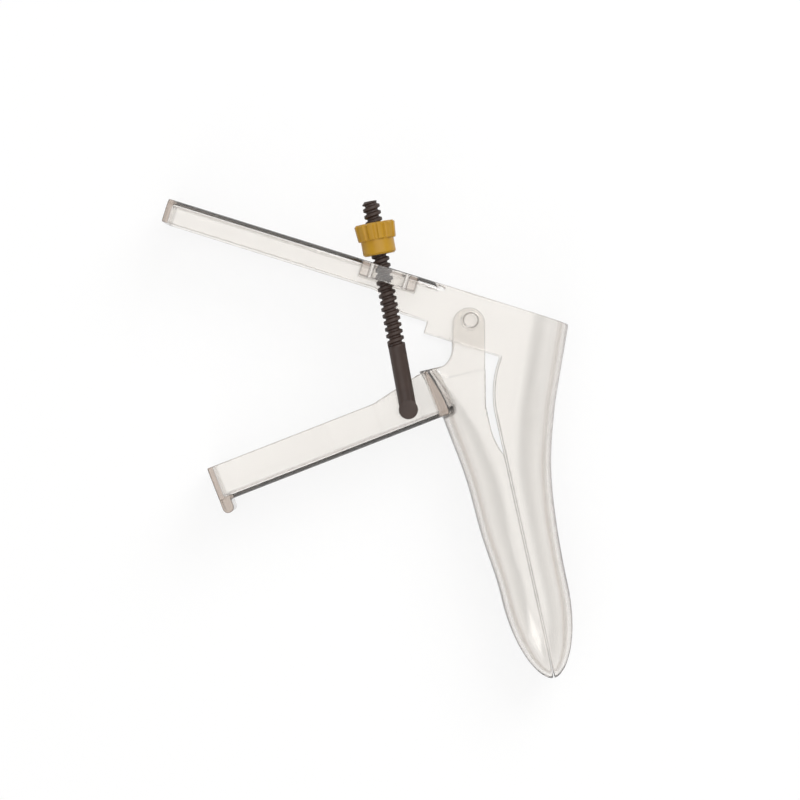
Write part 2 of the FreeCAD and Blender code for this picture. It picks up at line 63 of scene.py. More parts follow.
def linear(code):
    """The linear colour of an sRGB hex code."""
    channels = []
    for start in (1, 3, 5):
        value = int(code[start : start + 2], 16) / 255
        channels.append(value / 12.92 if value <= 0.04045 else ((value + 0.055) / 1.055) ** 2.4)
    return (*channels, 1.0)


def length(name, mm, description):
    """A length, kept in metres, with its default given in millimetres."""
    return FloatProperty(
        name=name, description=description, default=mm * MM, unit="LENGTH", precision=5
    )


def degrees(name, value, description):
    """An angle with its default given in degrees."""
    return FloatProperty(
        name=name, description=description, default=math.radians(value), subtype="ANGLE"
    )


def share(name, value, description):
    """A share between 0 and 1."""
    return FloatProperty(
        name=name, description=description, default=value, min=0.0, max=1.0, subtype="FACTOR"
    )


def count(name, value, description):
    """A whole number of things."""
    return IntProperty(name=name, description=description, default=value, min=1, subtype="UNSIGNED")


def pixels(name, value, description):
    """A place in the 800 pixel picture."""
    return FloatProperty(name=name, description=description, default=value, subtype="PIXEL")


def watts(name, value, description):
    """A lamp's power."""
    return FloatProperty(name=name, description=description, default=value, unit="POWER")


def colour(name, code, description):
    """A colour with its default given as an sRGB hex code."""
    default = linear(code)
    return FloatVectorProperty(
        name=name, description=description, default=default, size=4, min=0, max=1, subtype="COLOR"
    )


class SharedSizes(bpy.types.PropertyGroup):
    """Sizes that both valves share."""

    side_half: length("Half width", 15.0, "Middle plane to the outer face of the valves")
    wall: length("Wall", 1.5, "Thickness of the moulded wall")
    web: length("Handle web", 1.4, "Thickness of a handle's back wall")
    end_plate: length("End plate", 1.6, "Thickness of the wall that closes a handle's free end")
    end_half: length("End half width", 13.0, "Half width of a handle at its free end")
    corner: length("Handle corner", 2.0, "Outside rounding along a handle")
    waist: length("Handle waist", 50.0, "Pivot to where the handles start to narrow")
    stud_radius: length("Stud radius", 2.1, "Radius of the pivot studs")
    stud_hole: length("Stud hole", 2.16, "Radius of the holes that the studs turn in")
    stud_recess: length("Stud recess", 0.2, "How far a stud ends under the side plate's face")
    arm_gap: length("Arm gap", 0.25, "Between the side plates and the arms inside them")
    seam: length("Seam", 1.2, "Height of the line where the closed blades meet")
    seam_gap: length("Seam gap", 0.3, "Gap between the closed blades")
    grain: length("Skin step", 0.2, "Size of the steps that the fused skin is worked out in")
    soften: count("Softening", 18, "Passes that round the moulded edges")
    skin_faces: count("Skin faces", 190000, "Triangles kept on each valve's skin")


class BladeSizes(bpy.types.PropertyGroup):
    """Where the blades' cross-sections stand, and their sizes."""

    base: length("Base", 28.0, "Pivot to the root of the blades")
    throat: length("Throat", 44.6, "Pivot to the second cross-section")
    middle: length("Middle", 62.0, "Pivot to the third cross-section")
    fore: length("Fore", 80.0, "Pivot to the start of the rounded tip")
    tip: length("Tip", 106.4, "Pivot to the blades' tips")
    throat_half: length("Throat half width", 14.6, "Half width at the throat")
    middle_half: length("Middle half width", 13.6, "Half width at the middle")
    fore_half: length("Fore half width", 12.6, "Half width at the fore section")
    side_round: share("Side rounding", 0.92, "Share of the height that the rounded side takes")
    tip_round: share("Tip rounding", 0.85, "The same share over the tip")
    blunt: FloatProperty(
        name="Bluntness",
        description="How soon the tip's crown comes down",
        default=1.15,
        subtype="UNSIGNED",
    )
    upper_base: length("Upper base", 17.9, "Height of the upper blade at its root")
    upper_throat: length("Upper throat", 12.9, "Height of the upper blade at the throat")
    upper_middle: length("Upper middle", 10.5, "Height of the upper blade at its middle")
    upper_fore: length("Upper fore", 9.8, "Height of the upper blade at the fore section")
    lower_base: length("Lower base", 14.7, "Depth of the lower blade at its root")
    lower_throat: length("Lower throat", 12.4, "Depth of the lower blade at the throat")
    lower_middle: length("Lower middle", 11.5, "Depth of the lower blade at its middle")
    lower_fore: length("Lower fore", 9.9, "Depth of the lower blade at the fore section")


class UpperSizes(bpy.types.PropertyGroup):
    """The upper valve: its handle, window, collar and bracket."""

    angle: degrees("Angle", 60.0, "Angle of the back plane to the blades")
    back: length("Back", 7.5, "Pivot to the back plane")
    reach: length("Reach", 93.3, "Pivot to the handle's free end")
    depth: length("Flange depth", 6.9, "Depth of the handle's flanges")
    cheek_depth: length("Cheek depth", 11.3, "Depth of the flanges beside the pivot")
    cheek_start: length("Cheek start", 20.0, "Where the flanges have come to their full depth")
    flange_start: length("Flange start", 29.0, "Where the flanges start to deepen")
    plate_front: length("Plate front", 7.2, "Pivot to the side plates' front edge")
    plate_top: length("Plate top", 11.5, "Pivot to the corner of the side plates")
    plate_foot: length("Plate foot", 11.8, "Pivot to the side plates' lower edge")
    rim_radius: length("Rim radius", 29.7, "Arc of the edge between the side plates and the seam")
    window_foot: length("Window foot", 15.0, "Pivot to the lower end of the window")
    window_corner: length("Window corner", 6.0, "Rounding of the window's lower corners")
    window_top: length("Window top", 27.5, "Pivot to the top of the window's arch")
    collar_round: length("Collar rounding", 13.0, "Corner radius of the collar's arch")
    bracket_far: length("Bracket far end", 34.5, "Pivot to the bracket's far end")
    bracket_near: length("Bracket near end", 18.0, "Pivot to the bracket's near end")
    bracket_low: length("Bracket front", 2.75, "The bracket's face towards the other handle")
    bracket_high: length("Bracket back", 7.0, "The face that the nut bears on")
    bracket_wall: length("Bracket wall", 2.0, "Plastic over the slot")
    bracket_end: length("Bracket end", 2.2, "Plastic at either end of the slot")
    slot_gap: length("Slot gap", 0.4, "Clearance between the slot and the thread")


class LowerSizes(bpy.types.PropertyGroup):
    """The lower valve: its handle, funnel and arms."""

    angle: degrees("Angle", 81.3, "Angle of the handle to the blades")
    reach: length("Reach", 86.1, "Pivot to the handle's free end")
    back: length("Back", 22.9, "Pivot to the outer face of the web")
    rim: length("Rim", 12.2, "Pivot to the edge of the flanges")
    knee_rim: length("Knee rim", 9.1, "Pivot to the flanges' edge above the knee")
    knee_start: length("Knee start", 35.0, "Where the flanges start to deepen")
    knee_end: length("Knee end", 20.0, "Where the flanges have come to their full depth")
    knee_top: length("Knee top", 14.0, "Where the handle runs into the funnel")
    floor_under: length("Hollow's top", 17.8, "Pivot to the top of the handle's hollow")
    hook_reach: length("Hook reach", 3.5, "How far the end hook stands out")
    hook_thick: length("Hook thickness", 3.3, "Thickness of the end hook")
    hook_round: length("Hook rounding", 1.5, "Rounding of the end hook")
    funnel_rear: length("Funnel rear", 11.1, "Pivot to the back edge of the funnel's floor")
    funnel_mid: length("Funnel middle", 19.0, "Pivot to the funnel's second cross-section")
    rear_depth: length("Rear depth", 18.9, "Depth of the funnel at its back edge")
    mid_depth: length("Middle depth", 16.2, "Depth of the funnel at its second cross-section")
    rear_round: length("Rear rounding", 5.0, "Corner radius at the back edge")
    mid_round: length("Middle rounding", 6.5, "Corner radius at the second cross-section")
    base_round: length("Base rounding", 9.5, "Corner radius at the blade's root")
    relief_start: length("Relief start", 15.0, "Where the rim starts to dip")
    relief_floor: length("Relief floor", 25.0, "Where the rim is at its lowest")
    relief_end: length("Relief end", 31.0, "Where the rim starts to rise")
    blades_meet: length("Blades meet", 40.0, "Where the rims have come together")
    relief_depth: length("Relief depth", 2.3, "How far the rim dips")
    arm_wall: length("Arm wall", 1.7, "Thickness of the arms")
    ear_angle: degrees("Ear angle", 12.6, "Slope of the arms' ears")
    ear_radius: length("Ear radius", 4.67, "Radius of the ears' round ends")
    ear_offset: length("Ear offset", 1.0, "Stud to the ear's centre, along the ear")
    ear_drop: length("Ear drop", 0.5, "Stud to the ear's centre, across the ear")
    arm_end: length("Arm end", 14.5, "Where the arms end inside the funnel's walls")
    arm_run: length("Arm run", 7.8, "Along the ear to the hollow under it")
    arm_hollow: length("Arm hollow", 6.5, "Radius of the hollow under the ear")
    peg_shoulder: length("Peg shoulder", 2.4, "Radius of the shoulder under the screw's eye")
    peg_head: length("Peg head", 1.75, "Radius of the peg's snap head, inside the screw's eye")
    peg_head_height: length("Peg head height", 1.2, "Height of the snap head")


class ScrewSizes(bpy.types.PropertyGroup):
    """The side screw and its nut."""

    down: length("Eye down", 26.0, "Pivot to the eye, along the lower handle")
    out: length("Eye out", 17.4, "Pivot to the eye, across the lower handle")
    gap: length("Screw gap", 1.45, "Between the valves' side and the thread")
    angle: degrees("Screw angle", 177.8, "Direction of the screw from its eye")
    length: length("Screw length", 60.6, "Eye to the screw's tip")
    shank: length("Shank length", 18.14, "Eye to the start of the thread")
    shank_radius: length("Shank radius", 2.45, "Radius of the plain shank")
    crest: length("Thread crest", 2.5, "Radius over the thread's crests")
    thread_depth: length("Thread depth", 0.75, "Depth of the thread's groove")
    groove_floor: length("Groove floor", 0.2, "Half width of the thread's groove at its floor")
    groove_mouth: length("Groove mouth", 0.62, "Half width of the thread's groove at the crests")
    pitch: length("Pitch", 1.92, "Distance from crest to crest")
    tip_chamfer: length("Tip chamfer", 0.8, "Taper of the screw's tip")
    eye_radius: length("Eye radius", 2.75, "Radius of the eye")
    eye_half: length("Eye half height", 2.2, "Half the height of the eye")
    eye_cap: length("Eye cap", 0.9, "Plastic over the socket in the eye")
    peg_radius: length("Peg radius", 1.4, "Radius of the peg in the eye")
    peg_gap: length("Peg gap", 0.08, "Clearance round the peg")
    nut_stand: length("Nut stand", 45.1, "Eye to the nut's seat")
    nut_body: length("Nut body radius", 4.75, "Radius of the nut's plain end")
    nut_body_height: length("Nut body height", 4.3, "Height of the nut's plain end")
    nut_base: length("Nut grip base", 5.5, "Radius of the fluted grip at its base")
    nut_grip: length("Nut grip", 5.9, "Radius of the fluted grip at its top")
    nut_grip_height: length("Nut grip height", 4.9, "Height of the fluted grip")
    nut_gap: length("Nut gap", 0.1, "Between the thread's crests and the nut's bore")
    nut_edge: length("Nut edge", 0.5, "Rounding of the nut's edges")
    flutes: count("Flutes", 12, "Grip flutes round the nut")
    flute_depth: length("Flute depth", 0.45, "Depth of the grip flutes")


class Finishes(bpy.types.PropertyGroup):
    """Colours and grain of the plastics, and the painted shade on the clear valves' margins and
    edges.
    """

    clear: colour("Clear polystyrene", "#FDFCFA", "Tint of the clear valves, seen face on")
    # Painted shade for walls seen edge-on, standing in for the dark surroundings they mirror there
    # and the longer path through the wall
    margin: colour("Clear margin", "#B3A498", "Tint of the clear valves, seen along a wall")
    depth: colour("Clear depth", "#D8CBC0", "Colour of light from deep in the clear plastic")
    # Painted shade on the rounded edges, a dark colour standing in for the dark surroundings that
    # they mirror
    edge: colour("Clear edge", "#8F8177", "Tint of the rounded edges, which turn the light aside")
    reach: length("Clear reach", 14.0, "Thickness that gives the clear plastic its depth colour")
    haze: share("Haze", 0.10, "Roughness of the clear valves")
    waves: length("Waves", 9.0, "Width of the waves that shrinking leaves in the clear walls")
    polish: length("Polish marks", 2.5, "Width of the marks of the mould's polish")
    screw: colour("Screw", "#2B1B14", "Colour of the screw")
    screw_pale: colour("Screw, pale", "#3C2A21", "Colour of the screw where the dye is thin")
    nut: colour("Nut", "#AB7C0C", "Colour of the nut")
    nut_pale: colour("Nut, pale", "#BD9019", "Colour of the nut where the dye is thin")
    grit: length("Grit", 0.6, "Grain of the blasted mould on the screw and the nut")
    floor: colour("Floor", "#FFFFFF", "Colour of the floor and backdrop")
    dim: colour("Studio", "#C3C2C0", "Colour of the light from all round the studio")


class StageSettings(bpy.types.PropertyGroup):
    """The camera over the part, and the lamps."""

    pivot_column: pixels("Pivot column", 470.0, "Pixel column of the pivot in the picture")
    pivot_row: pixels("Pivot row", 321.0, "Pixel row of the pivot in the picture")
    pixel: length("Pixel", 0.29, "Size of a pixel at the part")
    blades_down: degrees("Blade direction", 77.4, "The blades' direction, clockwise from the right")
    height: length("Camera height", 1400.0, "Camera over the part's middle plane")
    key: watts("Key lamp", 7.0, "Power of the large lamp on the handles' side")
    fill: watts("Fill lamp", 3.0, "Power of the lamp on the blades' side")
    top: watts("Top lamp", 17.0, "Power of the softbox overhead")


# Outlines and cross-sections


def turned(along, across, angle):
    """The point at (along, across) in axes turned by angle, as X and Y."""
    c, s = math.cos(angle), math.sin(angle)
    return along * c - across * s, along * s + across * c


def arc_points(start, end, radius, turn, steps):
    """Points of the short arc after start, up to and with end. turn is 1 for anticlockwise."""
    start, end = Vector(start), Vector(end)
    chord = end - start
    rise = math.sqrt(max(radius**2 - (chord.length / 2) ** 2, 0.0))
    centre = (start + end) / 2 + Vector((-chord.y, chord.x)).normalized() * turn * rise
    first = math.atan2(*(start - centre).yx)
    sweep = 2 * math.asin(min(chord.length / 2 / radius, 1.0)) * turn
    turns = [first + sweep * i / steps for i in range(1, steps + 1)]
    return [centre + radius * Vector((math.cos(t), math.sin(t))) for t in turns]


def outline(*corners, steps=12):
    """Points round an outline. Its corners are (x, y), or (x, y, radius, turn) at an arc's end."""
    points = []
    for i, corner in enumerate(corners):
        if len(corner) == 2:
            points.append(Vector(corner))
        else:
            points += arc_points(corners[i - 1][:2], corner[:2], corner[2], corner[3], steps)
    return points


def ring(radius, x=0.0, y=0.0, steps=40):
    """Points round a circle about (x, y)."""
    turns = [math.tau * i / steps for i in range(steps)]
    return [Vector((x + radius * math.cos(t), y + radius * math.sin(t))) for t in turns]


def spaced(start, end, steps):
    """Points from start up to but not with end."""
    return [start + (end - start) * i / steps for i in range(steps)]


def arch(foot, crown, half, corner):
    """Points over an arch that is open at its foot, as (height, offset from the middle plane)."""
    side_steps, bend_steps, top_steps = 10, 16, 6
    up = 1 if crown > foot else -1
    shoulder = crown - corner * up
    side = spaced(Vector((foot, -half)), Vector((shoulder, -half)), side_steps)
    bend = [Vector((shoulder, -half))]
    bend += arc_points((shoulder, -half), (crown, corner - half), corner, up, bend_steps)
    top = spaced(Vector((crown, corner - half)), Vector((crown, 0.0)), top_steps)[1:]
    one_half = side + bend + top
    other_half = [Vector((p.x, -p.y)) for p in reversed(one_half)]
    return one_half + [Vector((crown, 0.0))] + other_half


def stand(points, angle, x, y, lift):
    """Cross-section points in space. The section's normal lies at angle to X."""
    side = (-math.sin(angle), math.cos(angle))
    return [Vector((x + p.x * side[0], y + p.x * side[1], lift + p.y)) for p in points]


def smooth_curve(xs, ys, end_slope):
    """A cubic spline through the points, free at its start and with the given slope at its end."""
    n = len(xs)
    gaps = np.diff(xs)
    rises = np.diff(ys) / gaps
    left, right = np.zeros((n, n)), np.zeros(n)
    left[0, 0], left[0, 1], right[0] = 2.0, 1.0, 3.0 * rises[0]
    for i in range(1, n - 1):
        before, after = gaps[i - 1], gaps[i]
        left[i, i - 1 : i + 2] = after, 2 * (before + after), before
        right[i] = 3 * (after * rises[i - 1] + before * rises[i])
    left[-1, -1], right[-1] = 1.0, end_slope
    slopes = np.linalg.solve(left, right)

    def value(x):
        i = min(max(int(np.searchsorted(xs, x)) - 1, 0), n - 2)
        t = (x - xs[i]) / gaps[i]
        a, b = ys[i], ys[i + 1]
        c, d = slopes[i] * gaps[i], slopes[i + 1] * gaps[i]
        return float(a + t * (c + t * (3 * (b - a) - 2 * c - d + t * (2 * (a - b) + c + d))))

    return value


# Meshes


def mesh_from(points, faces):
    """A closed mesh of these points and faces, with doubled points joined."""
    weld = 0.002 * MM
    bm = bmesh.new()
    corners = [bm.verts.new(p) for p in points]
    for face in faces:
        bm.faces.new([corners[i] for i in face])
    bmesh.ops.remove_doubles(bm, verts=bm.verts, dist=weld)
    bmesh.ops.dissolve_degenerate(bm, edges=bm.edges, dist=weld)
    bmesh.ops.recalc_face_normals(bm, faces=bm.faces)
    mesh = bpy.data.meshes.new("part")
    bm.to_mesh(mesh)
    bm.free()
    return mesh


def shell(outer, inner):
    """A wall between two rows of cross-sections that are open at the foot."""
    rows, columns = len(outer), len(outer[0])
    points = [p for section in outer + inner for p in section]
    inside = rows * columns
    faces = []
    for i in range(rows - 1):
        for j in range(columns - 1):
            a, b = i * columns + j, (i + 1) * columns + j
            faces.append((a, a + 1, b + 1, b))
            faces.append((inside + a, inside + b, inside + b + 1, inside + a + 1))
        for j in (0, columns - 1):
            a, b = i * columns + j, (i + 1) * columns + j
            faces.append((a, b, inside + b, inside + a))
    for i in (0, rows - 1):
        for j in range(columns - 1):
            a = i * columns + j
            faces.append((a, a + 1, inside + a + 1, inside + a))
    return mesh_from(points, faces)


def solid(sections):
    """A closed solid through closed cross-sections, with flat ends."""
    rows, columns = len(sections), len(sections[0])
    points = [p for section in sections for p in section]
    last = (rows - 1) * columns
    faces = [tuple(range(columns)), tuple(range(last, last + columns))]
    for a in range(0, last, columns):
        faces += around(a, a + columns, columns)
    return mesh_from(points, faces)


def around(row, after, steps):
    """The faces between two rings of this many points, which start at row and after."""
    turns = [(j, (j + 1) % steps) for j in range(steps)]
    return [(row + j, row + k, after + k, after + j) for j, k in turns]


def round_solid(levels, x=0.0, y=0.0, steps=40):
    """A solid of round levels, given as (height, radius), about the upright through (x, y)."""
    return solid(
        [[Vector((p.x, p.y, z)) for p in ring(radius, x, y, steps)] for z, radius in levels]
    )


def slab(outline_points, low, high, holes=()):
    """A flat plate from low to high along Z, with holes through it."""
    curve = bpy.data.curves.new("outline", "CURVE")
    curve.dimensions = "2D"
    curve.fill_mode = "BOTH"
    curve.extrude = (high - low) / 2
    for loop in (outline_points, *holes):
        spline = curve.splines.new("POLY")
        spline.points.add(len(loop) - 1)
        for point, place in zip(spline.points, loop):
            point.co = (place[0], place[1], 0.0, 1.0)
        spline.use_cyclic_u = True
    mesh = applied(new_object("outline", curve))
    bpy.data.curves.remove(curve)
    mesh.transform(Matrix.Translation((0, 0, (low + high) / 2)))
    points = [v.co.copy() for v in mesh.vertices]
    faces = [tuple(p.vertices) for p in mesh.polygons]
    bpy.data.meshes.remove(mesh)
    return mesh_from(points, faces)


def across_handle(mesh, angle):
    """Turn a plate drawn as (along the handle, Z) so that its thickness lies across the handle."""
    along = Vector((math.cos(angle), math.sin(angle), 0))
    across = Vector((-math.sin(angle), math.cos(angle), 0))
    turn = Matrix((along, Vector((0, 0, 1)), across)).transposed()
    mesh.transform(turn.to_4x4())
    mesh.flip_normals()
    return mesh


def new_object(name, data):
    """An object in the scene with this mesh, curve, lamp or camera."""
    item = bpy.data.objects.new(name, data)
    bpy.context.scene.collection.objects.link(item)
    return item


def applied(item):
    """The item's mesh with its modifiers applied. The item itself is removed."""
    bpy.context.view_layer.update()
    evaluated = item.evaluated_get(bpy.context.evaluated_depsgraph_get())
    mesh = bpy.data.meshes.new_from_object(evaluated)
    bpy.data.objects.remove(item)
    return mesh


def combined(mesh, operation, *others):
    """The mesh after a Boolean operation with each of the others."""
    for other in others:
        item, tool = new_object("work", mesh), new_object("tool", other)
        step = item.modifiers.new("Combine", "BOOLEAN")
        step.operation = operation
        step.solver = "EXACT"
        step.object = tool
        mesh = applied(item)
        bpy.data.objects.remove(tool)
    return mesh


def point_places(mesh):
    """The mesh's points, one in each row."""
    places = np.empty(len(mesh.vertices) * 3, dtype=np.float32)
    mesh.vertices.foreach_get("co", places)
    return places.reshape(-1, 3)


def mould(name, parts, angle, shared):
    """Fuse overlapping parts into one skin with softly rounded edges.

    The steps of the skin run along the given angle, so that they follow the piece's long walls.
    """
    bm = bmesh.new()
    for part in parts:
        bm.from_mesh(part)
    mesh = bpy.data.meshes.new(name)
    bm.to_mesh(mesh)
    bm.free()
    mesh.transform(Matrix.Rotation(-angle, 4, "Z"))
    item = new_object(name, mesh)
    fuse = item.modifiers.new("Fuse", "REMESH")
    fuse.mode = "VOXEL"
    fuse.voxel_size = step = shared.grain * 1
    mesh = applied(item)
    before = point_places(mesh)
    item = new_object(name, mesh)
    soften = item.modifiers.new("Soften", "SMOOTH")
    soften.factor = 0.5
    soften.iterations = shared.soften
    mesh = applied(item)
    # Rounding moves the points of an edge and leaves those of a wall, so the move tells them apart.
    # Up to the first share of a step it is a wall, and from there the edge grows over the second.
    wall_move, edge_move = 0.2, 0.6
    moved = np.linalg.norm(point_places(mesh) - before, axis=1) / step
    edge = np.clip((moved - wall_move) / edge_move, 0.0, 1.0)
    # This share is the mask for the painted shade on the valves' edges
    edges = mesh.attributes.new(PAINTED_EDGE_SHADE, "FLOAT", "POINT")
    edges.data.foreach_set("value", edge.astype(np.float32))
    mesh.transform(Matrix.Rotation(angle, 4, "Z"))
    mesh.calc_loop_triangles()
    triangles = len(mesh.loop_triangles)
    item = new_object(name, mesh)
    if triangles > shared.skin_faces:
        thin = item.modifiers.new("Thin", "DECIMATE")
        thin.ratio = shared.skin_faces / triangles
        item = new_object(name, applied(item))
    item.data.polygons.foreach_set("use_smooth", [True] * len(item.data.polygons))
    return item


def bevelled(item, width, sharper_than):
    """Round the item's edges that are sharper than this, in degrees."""
    bevel = item.modifiers.new("Edges", "BEVEL")
    bevel.width = width
    bevel.segments = 2
    bevel.limit_method = "ANGLE"
    bevel.angle_limit = math.radians(sharper_than)
    return new_object(item.name, applied(item))


def shade_smooth(item, limit):
    """Smooth shading that keeps edges sharper than the limit, in degrees."""
    mesh = item.data
    mesh.polygons.foreach_set("use_smooth", [True] * len(mesh.polygons))
    mesh.set_sharp_from_angle(angle=math.radians(limit))


# Materials


def add_node(tree, kind, inputs=None, **settings):
    """A node with its settings. inputs is {socket: a plain value, or (node, output) for a link}."""
    node = tree.nodes.new(kind)
    for name, value in settings.items():
        setattr(node, name, value)
    for socket, value in (inputs or {}).items():
        if isinstance(value, tuple) and isinstance(value[0], bpy.types.Node):
            tree.links.new(value[0].outputs[value[1]], node.inputs[socket])
        else:
            node.inputs[socket].default_value = value
    return node


def new_material(name):
    """A material with an empty node tree, and the tree."""
    material = bpy.data.materials.new(name)
    material.use_nodes = True
    material.node_tree.nodes.clear()
    return material, material.node_tree


def clear_polystyrene(finishes):
    """Clear polystyrene, injection moulded in a polished mould.

    It is glossy and nearly white. Its edges and the sides of the blades get a painted warm grey
    shade, which stands in for the dark surroundings that the eye meets along the wall there and for
    the longer path through the wall. A haze that varies with the mould's polish softens what shows
    through it, and slow waves from shrinking bend its reflections.
    """
    material, tree = new_material("clear_polystyrene_moulded")
    place = add_node(tree, "ShaderNodeTexCoord")
    wave = {"Vector": (place, "Object"), "Scale": 1 / finishes.waves, "Detail": 1.0}
    waves = add_node(tree, "ShaderNodeTexNoise", wave)
    bump = add_node(tree, "ShaderNodeBump", {"Height": (waves, "Fac"), "Distance": RELIEF})
    mark = {"Vector": (place, "Object"), "Scale": 1 / finishes.polish, "Detail": 3.0}
    marks = add_node(tree, "ShaderNodeTexNoise", mark)
    least, most = finishes.haze * 0.5, finishes.haze * 1.5
    haze = {"Value": (marks, "Fac"), "To Min": least, "To Max": most}
    roughness = add_node(tree, "ShaderNodeMapRange", haze)
    facing = add_node(tree, "ShaderNodeLayerWeight", {"Blend": 0.5})
    # The painted margin shade starts where a wall is turned about 50 degrees from the eye
    along = {"Value": (facing, "Facing"), "From Min": 0.35, "From Max": 1.0}
    along = add_node(tree, "ShaderNodeMapRange", along, interpolation_type="SMOOTHSTEP")
    margin_shade_mix = {0: (along, "Result"), 6: finishes.clear, 7: finishes.margin}
    margin_shaded = add_node(tree, "ShaderNodeMix", margin_shade_mix, data_type="RGBA")
    # Painted shade on the moulded edges, laid on where the edge share is high
    edges = add_node(tree, "ShaderNodeAttribute", attribute_name=PAINTED_EDGE_SHADE)
    edge_shade_mix = {0: (edges, "Fac"), 6: (margin_shaded, 2), 7: finishes.edge}
    edge_shaded = add_node(tree, "ShaderNodeMix", edge_shade_mix, data_type="RGBA")
    skin = {
        "Base Color": (edge_shaded, 2),
        "Roughness": (roughness, "Result"),
        "IOR": 1.59,
        # The rest scatters in the wall, as it does in plastic that isn't optically clear
        "Transmission Weight": 0.97,
        "Normal": (bump, "Normal"),
    }
    shader = add_node(tree, "ShaderNodeBsdfPrincipled", skin)
    inside = {"Color": finishes.depth, "Density": 1 / finishes.reach}
    depth = add_node(tree, "ShaderNodeVolumeAbsorption", inside)
    ends = {"Surface": (shader, "BSDF"), "Volume": (depth, "Volume")}
    add_node(tree, "ShaderNodeOutputMaterial", ends)
    return material


def opaque_plastic(name, finishes, base, pale, ior, roughness):
    """A dyed plastic with a grain from the mould.

    The real grit is about 0.1 mm, too fine to show, so it is drawn coarser. The dye varies a little
    over a few millimetres, and the gloss a little with the grit.
    """
    grits_a_cloud, uneven = 5, 0.08
    material, tree = new_material(name)
    place = add_node(tree, "ShaderNodeTexCoord")
    cloud_scale = 1 / (grits_a_cloud * finishes.grit)
    cloud = {"Vector": (place, "Object"), "Scale": cloud_scale, "Detail": 2.0}
    clouds = add_node(tree, "ShaderNodeTexNoise", cloud)
    dye = add_node(tree, "ShaderNodeMix", {0: (clouds, "Fac"), 6: base, 7: pale}, data_type="RGBA")
    grain = {"Vector": (place, "Object"), "Scale": 1 / finishes.grit, "Detail": 2.0}
    grit = add_node(tree, "ShaderNodeTexNoise", grain)
    bump = add_node(tree, "ShaderNodeBump", {"Height": (grit, "Fac"), "Distance": RELIEF})
    gloss = {"Value": (grit, "Fac"), "To Min": roughness - uneven, "To Max": roughness + uneven}
    spread = add_node(tree, "ShaderNodeMapRange", gloss)
    skin = {
        "Base Color": (dye, 2),
        "Roughness": (spread, "Result"),
        "IOR": ior,
        "Normal": (bump, "Normal"),
    }
    shader = add_node(tree, "ShaderNodeBsdfPrincipled", skin)
    add_node(tree, "ShaderNodeOutputMaterial", {"Surface": (shader, "BSDF")})
    return material


def dark_polyamide(finishes):
    """Dark brown polyamide, moulded in a blasted mould: satin, and nearly black in the thread."""
    base, pale = finishes.screw, finishes.screw_pale
    return opaque_plastic("dark_polyamide_moulded", finishes, base, pale, ior=1.53, roughness=0.52)


def yellow_polypropylene(finishes):
    """Mustard polypropylene, moulded: a soft gloss, and a little paler in clouds."""
    name, base, pale = "yellow_polypropylene_moulded", finishes.nut, finishes.nut_pale
    return opaque_plastic(name, finishes, base, pale, ior=1.49, roughness=0.36)


def dress(item, material, body, slot, *nodes):
    """Give a finished piece its material, tie it to its body and hide the solids it stands in for.
    """
    if not item.data.polygons:
        raise RuntimeError(f"{item.name} has no faces")
    item.data.materials.clear()
    item.data.materials.append(material)
    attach(item, body)
    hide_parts(*nodes)


# The two blades


def blade_rows(shared, blades, stations, up, rim, inset):
    """The cross-sections of a blade from its root to its tip, one each millimetre up to the tip.

    stations are (x, half width, height, corner).
    """
    xs, *columns = [np.array(column) for column in zip(*stations)]
    half_at, height_at, corner_at = [smooth_curve(xs, column, 0.0) for column in columns]
    rows = []
    body = round((blades.fore - xs[0]) / MM)
    for i in range(body):
        x = xs[0] + (blades.fore - xs[0]) * i / body
        crown = shared.seam + (height_at(x) - inset) * up
        points = arch(rim(x), crown, half_at(x) - inset, corner_at(x) - inset)
        rows.append(stand(points, 0.0, x, 0.0, shared.side_half))
    # Over the tip the corner changes from the last station's to a share of the room over the seam.
    # A corner stays a little smaller than what it rounds, and the crown a little over the seam.
    _, last_half, last_height, last_corner = stations[-1]
    tip_steps, change_over = 24, math.radians(25)
    most_corner, least_corner, least_crown = 0.98, 0.01 * MM, 0.6
    for i in range(tip_steps):
        turn = math.radians(90) * i / tip_steps
        x = blades.fore + (blades.tip - inset - blades.fore) * math.sin(turn)
        tall = (last_height - inset) * math.cos(turn) ** blades.blunt
        half = (last_half - inset) * math.cos(turn)
        blend = min(turn / change_over, 1.0)
        room = tall - shared.seam_gap
        corner = (1 - blend) * (last_corner - inset) + blend * room * blades.tip_round
        corner = max(min(corner, half * most_corner, room * most_corner), least_corner)
        crown = shared.seam + max(tall, shared.seam_gap * least_crown) * up
        points = arch(rim(x), crown, half, corner)
        rows.append(stand(points, 0.0, x, 0.0, shared.side_half))
    tip = Vector((blades.tip - inset, rim(blades.tip), shared.side_half))
    rows.append([tip.copy() for _ in rows[0]])
    return rows


def blade(shared, blades, stations, up, rim):
    """A blade's shell. up is 1 for the upper blade and -1 for the lower."""
    outer = blade_rows(shared, blades, stations, up, rim, 0.0)
    inner = blade_rows(shared, blades, stations, up, rim, shared.wall)
    return shell(outer, inner)


def blade_stations(blades, heights, base_half, base_round):
    """The blade's four named cross-sections."""
    places = (blades.base, blades.throat, blades.middle, blades.fore)
    halves = (base_half, blades.throat_half, blades.middle_half, blades.fore_half)
    corners = [base_round] + [height * blades.side_round for height in heights[1:]]
    return list(zip(places, halves, heights, corners))


def handle(rows, angle, corner, lift):
    """A channel through straight-sided cross-sections: (along, foot, crown, half width)."""
    return [
        stand(arch(foot, crown, half, corner), angle, *turned(along, 0.0, angle), lift)
        for along, foot, crown, half in rows
    ]


def channel(rows, angle, shared):
    """A handle's wall, open at its foot. The rows are its outside."""
    inner = [
        (along, foot, crown - shared.web, half - shared.wall) for along, foot, crown, half in rows
    ]
    return shell(
        handle(rows, angle, shared.corner, shared.side_half),
        handle(inner, angle, shared.corner - shared.wall, shared.side_half),
    )


def block(rows, angle, shared):
    """A solid through whole cross-sections of a handle."""
    return solid(handle(rows, angle, shared.corner, shared.side_half))


# The pieces


